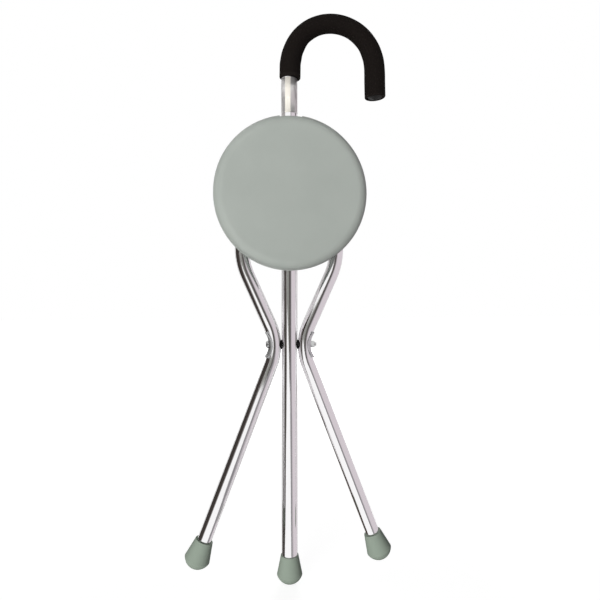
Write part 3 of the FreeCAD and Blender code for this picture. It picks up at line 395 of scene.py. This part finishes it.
def closed_cell_foam(name, skin, pit_shade):
    """Closed-cell rubber foam: dull and black, with a crumb of small round pits, which are painted
    darker as shade.
    """
    material, output = new_material(name)
    place = add_node(material, "ShaderNodeTexCoord").outputs["Object"]
    cells = add_node(material, "ShaderNodeTexVoronoi", {"feature": "F1"},
                     {"Scale": 1 / FOAM_CELL, "Randomness": 1.0}, {"Vector": place})
    crumb = add_node(material, "ShaderNodeTexNoise", None,
                     {"Scale": 1 / (2 * FOAM_CELL), "Detail": 4.0, "Roughness": 0.65}, {"Vector": place})
    pit_relief_and_shade = add_node(material, "ShaderNodeMapRange", None,
                    {"From Min": 0.05, "From Max": 0.55}, {"Value": cells.outputs["Distance"]})
    # Painted shade: the pits are coloured darker than the skin, as shade in the open cells
    colour = add_node(material, "ShaderNodeMix", {"data_type": "RGBA"},
                      {6: linear(pit_shade), 7: linear(skin)}, {0: pit_relief_and_shade.outputs["Result"]})
    dust = add_node(material, "ShaderNodeMix", {"data_type": "RGBA", "blend_type": "MULTIPLY"},
                    {0: 0.35}, {6: colour.outputs[2], 7: crumb.outputs["Color"]})
    height = add_node(material, "ShaderNodeMath", {"operation": "MULTIPLY_ADD"},
                      {1: 0.6}, {0: crumb.outputs["Fac"], 2: pit_relief_and_shade.outputs["Result"]})
    relief = add_node(material, "ShaderNodeBump", None,
                      {"Strength": 0.5, "Distance": 0.25 * MM}, {"Height": height.outputs["Value"]})
    foam = add_node(material, "ShaderNodeBsdfPrincipled", None,
                    {"Roughness": 0.95, "IOR": 1.45, "Specular IOR Level": 0.08},
                    {"Base Color": dust.outputs[2], "Normal": relief.outputs["Normal"]})
    material.node_tree.links.new(foam.outputs["BSDF"], output.inputs["Surface"])
    return material


def moulded_plastic(name, colour, roughness, grain, relief_depth, specular=0.5):
    """Injection-moulded plastic: an even satin skin with the fine grain of an eroded mould."""
    material, output = new_material(name)
    cloud = 60 * MM
    place = add_node(material, "ShaderNodeTexCoord").outputs["Object"]
    pebbles = add_node(material, "ShaderNodeTexNoise", None,
                       {"Scale": 1 / grain, "Detail": 2.0, "Roughness": 0.5}, {"Vector": place})
    clouds = add_node(material, "ShaderNodeTexNoise", None,
                      {"Scale": 1 / cloud, "Detail": 3.0, "Roughness": 0.5}, {"Vector": place})
    shade = add_node(material, "ShaderNodeMapRange", None,
                     {"From Min": 0.3, "From Max": 0.7, "To Min": 0.94, "To Max": 1.0},
                     {"Value": clouds.outputs["Fac"]})
    tint = add_node(material, "ShaderNodeMix", {"data_type": "RGBA", "blend_type": "MULTIPLY"},
                    {0: 1.0, 6: linear(colour)}, {7: shade.outputs["Result"]})
    gloss = add_node(material, "ShaderNodeMapRange", None,
                     {"To Min": roughness - 0.05, "To Max": roughness + 0.07},
                     {"Value": pebbles.outputs["Fac"]})
    relief = add_node(material, "ShaderNodeBump", None,
                      {"Strength": 0.25, "Distance": relief_depth}, {"Height": pebbles.outputs["Fac"]})
    plastic = add_node(material, "ShaderNodeBsdfPrincipled", None,
                       {"IOR": 1.49, "Specular IOR Level": specular},
                       {"Base Color": tint.outputs[2], "Roughness": gloss.outputs["Result"],
                        "Normal": relief.outputs["Normal"]})
    material.node_tree.links.new(plastic.outputs["BSDF"], output.inputs["Surface"])
    return material


def moulded_rubber(name, foot):
    """Compression-moulded rubber: soft and dull, scuffed a little darker towards the foot."""
    colours = bpy.context.scene.stick_seat_colours
    material, output = new_material(name)
    speckle_size, scuff_height = 1.4 * MM, 12 * MM
    place = add_node(material, "ShaderNodeTexCoord").outputs["Object"]
    parts = add_node(material, "ShaderNodeSeparateXYZ", None, None, {"Vector": place})
    speckle = add_node(material, "ShaderNodeTexNoise", None,
                       {"Scale": 1 / speckle_size, "Detail": 4.0, "Roughness": 0.7}, {"Vector": place})
    scuff = add_node(material, "ShaderNodeMapRange", {"interpolation_type": "SMOOTHSTEP"},
                     {"From Min": foot, "From Max": foot + scuff_height}, {"Value": parts.outputs["Z"]})
    worn = add_node(material, "ShaderNodeMath", {"operation": "MULTIPLY_ADD", "use_clamp": True},
                    {1: 0.35}, {0: speckle.outputs["Fac"], 2: scuff.outputs["Result"]})
    tint = add_node(material, "ShaderNodeMix", {"data_type": "RGBA"},
                    {6: linear(colours.rubber_scuff), 7: linear(colours.rubber)},
                    {0: worn.outputs["Value"]})
    relief = add_node(material, "ShaderNodeBump", None,
                      {"Strength": 0.3, "Distance": 0.12 * MM}, {"Height": speckle.outputs["Fac"]})
    rubber = add_node(material, "ShaderNodeBsdfPrincipled", None,
                      {"Roughness": 0.7, "IOR": 1.52, "Specular IOR Level": 0.14},
                      {"Base Color": tint.outputs[2], "Normal": relief.outputs["Normal"]})
    material.node_tree.links.new(rubber.outputs["BSDF"], output.inputs["Surface"])
    return material


def plated_steel(name, colour, roughness, grit):
    """Zinc-plated steel: a grey metal skin with a soft cloudy bloom and fine grit marks."""
    colours = bpy.context.scene.stick_seat_colours
    material, output = new_material(name)
    cloud = 8 * MM
    place = add_node(material, "ShaderNodeTexCoord").outputs["Object"]
    bloom = add_node(material, "ShaderNodeTexNoise", None,
                     {"Scale": 1 / cloud, "Detail": 4.0, "Roughness": 0.6}, {"Vector": place})
    marks = add_node(material, "ShaderNodeTexNoise", None,
                     {"Scale": 1 / grit, "Detail": 3.0, "Roughness": 0.7}, {"Vector": place})
    tint = add_node(material, "ShaderNodeMix", {"data_type": "RGBA"},
                    {6: linear(colours.zinc_bloom), 7: linear(colour)}, {0: bloom.outputs["Fac"]})
    gloss = add_node(material, "ShaderNodeMapRange", None,
                     {"To Min": roughness - 0.08, "To Max": roughness + 0.12},
                     {"Value": marks.outputs["Fac"]})
    relief = add_node(material, "ShaderNodeBump", None,
                      {"Strength": 0.2, "Distance": 0.05 * MM}, {"Height": marks.outputs["Fac"]})
    metal = add_node(material, "ShaderNodeBsdfPrincipled", None, {"Metallic": 1.0},
                     {"Base Color": tint.outputs[2], "Roughness": gloss.outputs["Result"],
                      "Normal": relief.outputs["Normal"]})
    material.node_tree.links.new(metal.outputs["BSDF"], output.inputs["Surface"])
    return material


def mesh_piece(name, points, faces, materials, face_materials=None):
    """Make a smooth mesh object from points and faces."""
    mesh = bpy.data.meshes.new(name)
    mesh.from_pydata(points, [], faces)
    for material in materials:
        mesh.materials.append(material)
    for face, polygon in enumerate(mesh.polygons):
        polygon.use_smooth = True
        polygon.material_index = face_materials[face] if face_materials else 0
    fixed = bmesh.new()
    fixed.from_mesh(mesh)
    bmesh.ops.recalc_face_normals(fixed, faces=fixed.faces)
    fixed.to_mesh(mesh)
    fixed.free()
    piece = bpy.data.objects.new(name, mesh)
    bpy.context.scene.collection.objects.link(piece)
    return piece


def ring_tube(rings, around):
    """Points and faces of a closed tube through rings, each given as (centre, out, radius)."""
    points, faces = [], []
    for centre, out, radius in rings:
        for step in range(around):
            angle = 2 * math.pi * step / around
            across = Vector((0, radius * math.sin(angle), 0))
            points.append(centre + out * (radius * math.cos(angle)) + across)
    for ring in range(len(rings)):
        after = (ring + 1) % len(rings)
        for step in range(around):
            beside = (step + 1) % around
            faces.append((ring * around + step, ring * around + beside,
                          after * around + beside, after * around + step))
    return points, faces


class STICKSEAT_OT_polish_tubes(bpy.types.Operator):
    """Give the stick and the two side legs their polished aluminium"""

    bl_idname = "stickseat.polish_tubes"
    bl_label = "Polish Tubes"

    def execute(self, context):
        for name, lean in TUBE_LEANS.items():
            dress([name], polished_aluminium(f"polished_drawn_aluminium_{name}", math.radians(lean)))
        return {"FINISHED"}


class STICKSEAT_OT_fit_grip(bpy.types.Operator):
    """Build the foam grip on the crook"""

    bl_idname = "stickseat.fit_grip"
    bl_label = "Fit Foam Grip"

    def execute(self, context):
        colours = context.scene.stick_seat_colours
        sizes = context.scene.stick_seat_sizes
        grip_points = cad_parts["foam_grip"].data.vertices
        foot = min(point.co.z for point in grip_points if point.co.x < TUBE_RADIUS)
        spine = crook_spine(foot, FOAM_LOW.z)
        rings, cut = foam_rings(spine, sizes.foam_edge)
        points, faces = ring_tube(rings, FOAM_AROUND)
        # Each foam's pits are painted darker as shade: the skin's pits in the pit shade colour, the cut
        # ends' pits in the skin's colour
        skin = closed_cell_foam("closed_cell_rubber_foam", colours.foam, colours.foam_pit_shade)
        ends = closed_cell_foam("cut_rubber_foam", colours.foam_cut, colours.foam)
        slots = [1 if cut[face // FOAM_AROUND] else 0 for face in range(len(faces))]
        grip = mesh_piece("foam_sleeve", points, faces, [skin, ends], slots)
        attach(grip, "stick")
        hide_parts("foam_grip")
        return {"FINISHED"}


def foam_lie(place):
    """The foam's outside radius and its shift towards +X at a place along the crook."""
    for before, after in zip(FOAM_LIE, FOAM_LIE[1:]):
        if place <= after[0]:
            share = max(0.0, (place - before[0]) / (after[0] - before[0]))
            eased = share * share * (3 - 2 * share)
            return [(low + (high - low) * eased) * MM for low, high in zip(before[1:], after[1:])]
    return [value * MM for value in FOAM_LIE[-1][1:]]


def crook_spine(foot, free_end):
    """Stations along the crook, as (centre, outward direction, degrees round the bend)."""
    along = 180 / (math.pi * CROOK_RADIUS)
    bend_centre = Vector((CROOK_RADIUS, 0, CROOK_CENTRE))
    stations = []
    for step in range(FOAM_STICK_STEPS + 1):
        height = foot + (CROOK_CENTRE - foot) * step / FOAM_STICK_STEPS
        centre = Vector((0, 0, height))
        stations.append((centre, Vector((-1, 0, 0)), (height - CROOK_CENTRE) * along))
    for step in range(1, FOAM_BEND_STEPS):
        angle = math.pi * step / FOAM_BEND_STEPS
        out = Vector((-math.cos(angle), 0, math.sin(angle)))
        stations.append((bend_centre + out * CROOK_RADIUS, out, math.degrees(angle)))
    for step in range(FOAM_FREE_STEPS + 1):
        height = CROOK_CENTRE + (free_end - CROOK_CENTRE) * step / FOAM_FREE_STEPS
        centre = Vector((2 * CROOK_RADIUS, 0, height))
        stations.append((centre, Vector((1, 0, 0)), 180 + (CROOK_CENTRE - height) * along))
    return stations


def rounded_end(middle, slant, radius, edge):
    """Rings that round the outside off at a cut end, from the full radius to the end's face."""
    rings = []
    for angle in FOAM_ROUNDING:
        turn = math.radians(angle)
        rise = Vector((0, 0, edge * (1 - math.sin(turn))))
        rings.append((middle + rise, slant, radius - edge * (1 - math.cos(turn))))
    return rings


def sleeve_mouth(centre, out, slant):
    """The two rings where a cut end turns into the bore, from the end's face inwards."""
    mouth = TUBE_RADIUS + FOAM_MOUTH_GAP
    return [(centre, slant, mouth + FOAM_MOUTH_FLARE),
            (centre + Vector((0, 0, FOAM_MOUTH_DEPTH)), out, mouth)]


def foam_rings(spine, edge):
    """Rings of the foam sleeve: the outside from end to end, then back along the bore.

    The second list tells which rings carry the cut face in place of the skin.
    """
    first, last = spine[0], spine[-1]
    slants = [end[1] + Vector((0, 0, rise)) for end, rise in zip((first, last), FOAM_SLANTS)]
    # Stations this near to an end would crowd the rounding there.
    crowded = 1.5 * edge
    rings, cut = [], []
    for station in spine:
        centre, out, place = station
        radius, shift = foam_lie(place)
        middle = centre + Vector((shift, 0, 0))
        nearer_end = first if place < 90 else last
        if station is first:
            rings += reversed(rounded_end(middle, slants[0], radius, edge))
        elif station is last:
            rings += rounded_end(middle, slants[1], radius, edge)
            rings += sleeve_mouth(centre, out, slants[1])
        elif abs(centre.z - nearer_end[0].z) > crowded:
            rings.append((middle, out, radius))
        cut += [station is first or station is last] * (len(rings) - len(cut))
    rings += [(centre, out, TUBE_RADIUS + FOAM_BORE_GAP) for centre, out, _ in reversed(spine[1:-1])]
    cut += [False] * (len(rings) - len(cut))
    rings += reversed(sleeve_mouth(first[0], first[1], slants[0]))
    cut += [True] * (len(rings) - len(cut))
    return rings, cut


class STICKSEAT_OT_mould_seat(bpy.types.Operator):
    """Give the seat its moulded plastic"""

    bl_idname = "stickseat.mould_seat"
    bl_label = "Mould Seat"

    def execute(self, context):
        colour = context.scene.stick_seat_colours.seat
        # The real grain is about 0.4 mm, too fine to show here, so it is drawn three times as coarse.
        plastic = moulded_plastic("moulded_polypropylene", colour, roughness=0.42,
                                  grain=1.2 * MM, relief_depth=0.05 * MM)
        dress(["seat_shell"], plastic)
        return {"FINISHED"}


class STICKSEAT_OT_mould_ferrules(bpy.types.Operator):
    """Give the three ferrules their rubber"""

    bl_idname = "stickseat.mould_ferrules"
    bl_label = "Mould Ferrules"

    def execute(self, context):
        for name in FERRULES:
            low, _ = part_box(name)
            dress([name], moulded_rubber(f"moulded_rubber_{name}", low.z))
        return {"FINISHED"}


class STICKSEAT_OT_mould_black_parts(bpy.types.Operator):
    """Give the plugs, spacers and collar their black plastic"""

    bl_idname = "stickseat.mould_black_parts"
    bl_label = "Mould Black Parts"

    def execute(self, context):
        colour = context.scene.stick_seat_colours.moulding
        # The real grain is about 0.3 mm, and is drawn three times as coarse for the same reason.
        nylon = moulded_plastic("moulded_black_nylon", colour, roughness=0.5,
                                grain=0.9 * MM, relief_depth=0.04 * MM, specular=0.2)
        dress(BLACK_MOULDINGS, nylon)
        return {"FINISHED"}


class STICKSEAT_OT_plate_steel(bpy.types.Operator):
    """Give the pressed plates and the fixings their zinc plating"""

    bl_idname = "stickseat.plate_steel"
    bl_label = "Plate Steel"

    def execute(self, context):
        colours = context.scene.stick_seat_colours
        pressed = plated_steel("zinc_plated_pressed_steel", colours.plate, roughness=0.34, grit=0.8 * MM)
        turned = plated_steel("zinc_plated_turned_steel", colours.fixing, roughness=0.24, grit=0.5 * MM)
        dress(PRESSED_PLATES, pressed)
        dress(FIXINGS, turned)
        return {"FINISHED"}


class STICKSEAT_OT_stick_label(bpy.types.Operator):
    """Put the plain label on the stick below the grip"""

    bl_idname = "stickseat.stick_label"
    bl_label = "Stick Label"

    def execute(self, context):
        colours = context.scene.stick_seat_colours
        sizes = context.scene.stick_seat_sizes
        points, faces, panels = label_sheet(sizes)
        film = label_film("silver_polyester_film", colours.label, colours.label_wave,
                          metal=0.55, roughness=0.3)
        panel = label_film("printed_label_panel", colours.label_paper, colours.label_paper_wave,
                           metal=0.0, roughness=0.4)
        label = mesh_piece("plain_label", points, faces, [film, panel], panels)
        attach(label, "stick")
        return {"FINISHED"}


def label_film(name, colour, wave, metal, roughness):
    """Self-adhesive label film: smooth, with faint waves where it is pressed round the tube."""
    material, output = new_material(name)
    wave_length = 5 * MM
    place = add_node(material, "ShaderNodeTexCoord").outputs["Object"]
    waves = add_node(material, "ShaderNodeTexNoise", None,
                     {"Scale": 1 / wave_length, "Detail": 2.0}, {"Vector": place})
    tint = add_node(material, "ShaderNodeMix", {"data_type": "RGBA"},
                    {6: linear(wave), 7: linear(colour)}, {0: waves.outputs["Fac"]})
    relief = add_node(material, "ShaderNodeBump", None,
                      {"Strength": 0.2, "Distance": 0.04 * MM}, {"Height": waves.outputs["Fac"]})
    film = add_node(material, "ShaderNodeBsdfPrincipled", None,
                    {"Metallic": metal, "Roughness": roughness, "IOR": 1.5},
                    {"Base Color": tint.outputs[2], "Normal": relief.outputs["Normal"]})
    material.node_tree.links.new(film.outputs["BSDF"], output.inputs["Surface"])
    return material


def label_sheet(sizes):
    """Points and faces of a thin sheet wrapped round the front of the stick.

    The third list tells which faces lie in the pale panel.
    """
    start, stop = LABEL_SIDES
    radii = (TUBE_RADIUS + LABEL_GAP, TUBE_RADIUS + sizes.label_thickness)
    heights = (sizes.label_low, sizes.label_high)
    points, faces, panels = [], [], []
    for step in range(LABEL_STEPS + 1):
        angle = math.radians(start + (stop - start) * step / LABEL_STEPS)
        for radius in radii:
            for height in heights:
                points.append((radius * math.sin(angle), -radius * math.cos(angle), height))
    for step in range(LABEL_STEPS):
        # Each step has four corners here and four beside: inner low, inner high, outer low, outer high.
        here, beside = 4 * step, 4 * step + 4
        middle = start + (stop - start) * (step + 0.5) / LABEL_STEPS
        panel = 1 if PANEL_SIDES[0] < middle < PANEL_SIDES[1] else 0
        faces += [(here, here + 1, beside + 1, beside), (here + 2, beside + 2, beside + 3, here + 3),
                  (here, beside, beside + 2, here + 2), (here + 1, here + 3, beside + 3, beside + 1)]
        panels += [panel] * 4
    last = 4 * LABEL_STEPS
    faces += [(0, 2, 3, 1), (last, last + 1, last + 3, last + 2)]
    panels += [0, 0]
    return points, faces, panels


class STICKSEAT_OT_build_studio(bpy.types.Operator):
    """Set up the floor, the light and the camera"""

    bl_idname = "stickseat.build_studio"
    bl_label = "Build Studio"

    def execute(self, context):
        studio = context.scene.stick_seat_studio
        lay_floor(context.scene.stick_seat_colours)
        hang_cards()
        light_studio(context.scene, studio)
        place_camera(context.scene, studio)
        context.scene.view_settings.view_transform = "Standard"
        return {"FINISHED"}


def seen_in_mirrors(material):
    """A value that is one for the camera and for what metal and glass show, and zero otherwise."""
    rays = add_node(material, "ShaderNodeLightPath")
    first = add_node(material, "ShaderNodeMath", {"operation": "MAXIMUM"}, None,
                     {0: rays.outputs["Is Camera Ray"], 1: rays.outputs["Is Glossy Ray"]})
    both = add_node(material, "ShaderNodeMath", {"operation": "MAXIMUM"}, None,
                    {0: first.outputs["Value"], 1: rays.outputs["Is Transmission Ray"]})
    return both.outputs["Value"]


def lay_floor(colours):
    """A plain white floor that keeps a soft shadow. Its glow grows with the distance from the object."""
    material, output = new_material("painted_white_floor")
    near, far, near_glow, far_glow = 0.3, 1.0, 0.86, 0.97
    bounce = add_node(material, "ShaderNodeBsdfDiffuse", None, {"Color": linear(colours.floor_bounce)})
    shade = add_node(material, "ShaderNodeBsdfDiffuse", None, {"Color": linear(colours.floor_shade)})
    place = add_node(material, "ShaderNodeTexCoord")
    distance = add_node(material, "ShaderNodeVectorMath", {"operation": "LENGTH"}, None,
                        {0: place.outputs["Object"]})
    level = add_node(material, "ShaderNodeMapRange", None,
                     {"From Min": near, "From Max": far, "To Min": near_glow, "To Max": far_glow},
                     {"Value": distance.outputs["Value"]})
    glow = add_node(material, "ShaderNodeEmission", None, {"Color": linear(WHITE)},
                    {"Strength": level.outputs["Result"]})
    seen = add_node(material, "ShaderNodeAddShader", None, None,
                    {0: shade.outputs["BSDF"], 1: glow.outputs["Emission"]})
    mixed = add_node(material, "ShaderNodeMixShader", None, None,
                     {0: seen_in_mirrors(material), 1: bounce.outputs["BSDF"],
                      2: seen.outputs["Shader"]})
    material.node_tree.links.new(mixed.outputs["Shader"], output.inputs["Surface"])
    corners = [(-FLOOR_REACH, -FLOOR_REACH, 0), (FLOOR_REACH, -FLOOR_REACH, 0),
               (FLOOR_REACH, FLOOR_REACH, 0), (-FLOOR_REACH, FLOOR_REACH, 0)]
    floor = mesh_piece("studio_floor", corners, [(0, 1, 2, 3)], [material])
    # The tubes show the white world and the cards below the floor in place of the floor itself.
    floor.visible_glossy = False


def turned_place(distance, angle, height):
    """A place at a distance from the stick, turned towards +X from straight in front."""
    return (distance * math.sin(angle), -distance * math.cos(angle), height)


def hang_cards():
    """Curved cards round the object, which give the polished tubes their streaks and nothing else."""
    for name, colour, rows in CARDS:
        points, faces = [], []
        for height, start, stop in rows:
            for step in range(CARD_STEPS + 1):
                angle = math.radians(start + (stop - start) * step / CARD_STEPS)
                points.append(turned_place(CARD_DISTANCE, angle, height))
        for row in range(len(rows) - 1):
            for step in range(CARD_STEPS):
                below = row * (CARD_STEPS + 1) + step
                above = below + CARD_STEPS + 1
                faces.append((below, below + 1, above + 1, above))
        material, output = new_material(name)
        face = add_node(material, "ShaderNodeEmission", None, {"Color": linear(colour), "Strength": 1.0})
        material.node_tree.links.new(face.outputs["Emission"], output.inputs["Surface"])
        card = mesh_piece(name, points, faces, [material])
        card.visible_camera = False
        card.visible_diffuse = False
        card.visible_shadow = False
        card.visible_transmission = False


def hang_soft_box(scene, name, angle, height, size, power):
    """A soft box aimed at the object's middle. Polished metal shows the cards and not the soft boxes."""
    lamp = bpy.data.lights.new(name, "AREA")
    lamp.shape = "RECTANGLE"
    lamp.size, lamp.size_y = size
    lamp.energy = power
    box = bpy.data.objects.new(name, lamp)
    box.location = turned_place(LAMP_DISTANCE, angle, height)
    box.rotation_euler = (Vector(LAMP_TARGET) - box.location).to_track_quat("-Z", "Y").to_euler()
    box.visible_glossy = False
    scene.collection.objects.link(box)


def light_studio(scene, studio):
    """A large soft box in front, a weak one behind and an even sky."""
    hang_soft_box(scene, "soft_box", studio.lamp_angle, studio.lamp_height,
                  studio.lamp_size, studio.lamp_power)
    hang_soft_box(scene, "back_fill", studio.fill_angle, studio.fill_height,
                  studio.fill_size, studio.fill_power)

    world = bpy.data.worlds.new("white_studio")
    world.use_nodes = True
    world.node_tree.nodes.clear()
    output = add_node(world, "ShaderNodeOutputWorld")
    level = add_node(world, "ShaderNodeMapRange", None,
                     {"To Min": studio.sky_level, "To Max": 1.0}, {"Value": seen_in_mirrors(world)})
    sky = add_node(world, "ShaderNodeBackground", None, {"Color": linear(WHITE)},
                   {"Strength": level.outputs["Result"]})
    world.node_tree.links.new(sky.outputs["Background"], output.inputs["Surface"])
    scene.world = world


def place_camera(scene, studio):
    """The camera at the photograph's angle."""
    view = bpy.data.cameras.new("view")
    view.lens = studio.camera_lens
    view.sensor_width = SENSOR_WIDTH
    view.shift_x, view.shift_y = studio.camera_shift
    view.clip_start = 50 * MM
    camera = bpy.data.objects.new("view", view)
    camera.location = studio.camera_place
    camera.rotation_euler = (math.radians(90) + studio.camera_pitch, 0, -studio.camera_yaw)
    scene.collection.objects.link(camera)
    scene.camera = camera


class STICKSEAT_PT_panel(bpy.types.Panel):
    """Steps of the stick seat's finish"""

    bl_idname = "STICKSEAT_PT_panel"
    bl_label = "Walking Stick Seat"
    bl_space_type = "VIEW_3D"
    bl_region_type = "UI"
    bl_category = "Stick Seat"

    def draw(self, context):
        for step in STEPS:
            self.layout.operator(step.bl_idname)
        for group in (context.scene.stick_seat_colours, context.scene.stick_seat_sizes,
                      context.scene.stick_seat_studio):
            for name in group.__annotations__:
                self.layout.prop(group, name)


STEPS = (
    STICKSEAT_OT_polish_tubes,
    STICKSEAT_OT_fit_grip,
    STICKSEAT_OT_mould_seat,
    STICKSEAT_OT_mould_ferrules,
    STICKSEAT_OT_mould_black_parts,
    STICKSEAT_OT_plate_steel,
    STICKSEAT_OT_stick_label,
    STICKSEAT_OT_build_studio,
)
CLASSES = (StickSeatColours, StickSeatSizes, StickSeatStudio, *STEPS, STICKSEAT_PT_panel)


def register():
    """Add the classes and the scene's settings to Blender."""
    for kind in CLASSES:
        bpy.utils.register_class(kind)
    bpy.types.Scene.stick_seat_colours = PointerProperty(type=StickSeatColours)
    bpy.types.Scene.stick_seat_sizes = PointerProperty(type=StickSeatSizes)
    bpy.types.Scene.stick_seat_studio = PointerProperty(type=StickSeatStudio)


def unregister():
    """Take them out again, in the opposite order."""
    del bpy.types.Scene.stick_seat_studio
    del bpy.types.Scene.stick_seat_sizes
    del bpy.types.Scene.stick_seat_colours
    for kind in reversed(CLASSES):
        bpy.utils.unregister_class(kind)


def main():
    """Run each step in order."""
    register()
    for step in STEPS:
        group, name = step.bl_idname.split(".")
        getattr(getattr(bpy.ops, group), name)()


if __name__ == "__main__":
    main()
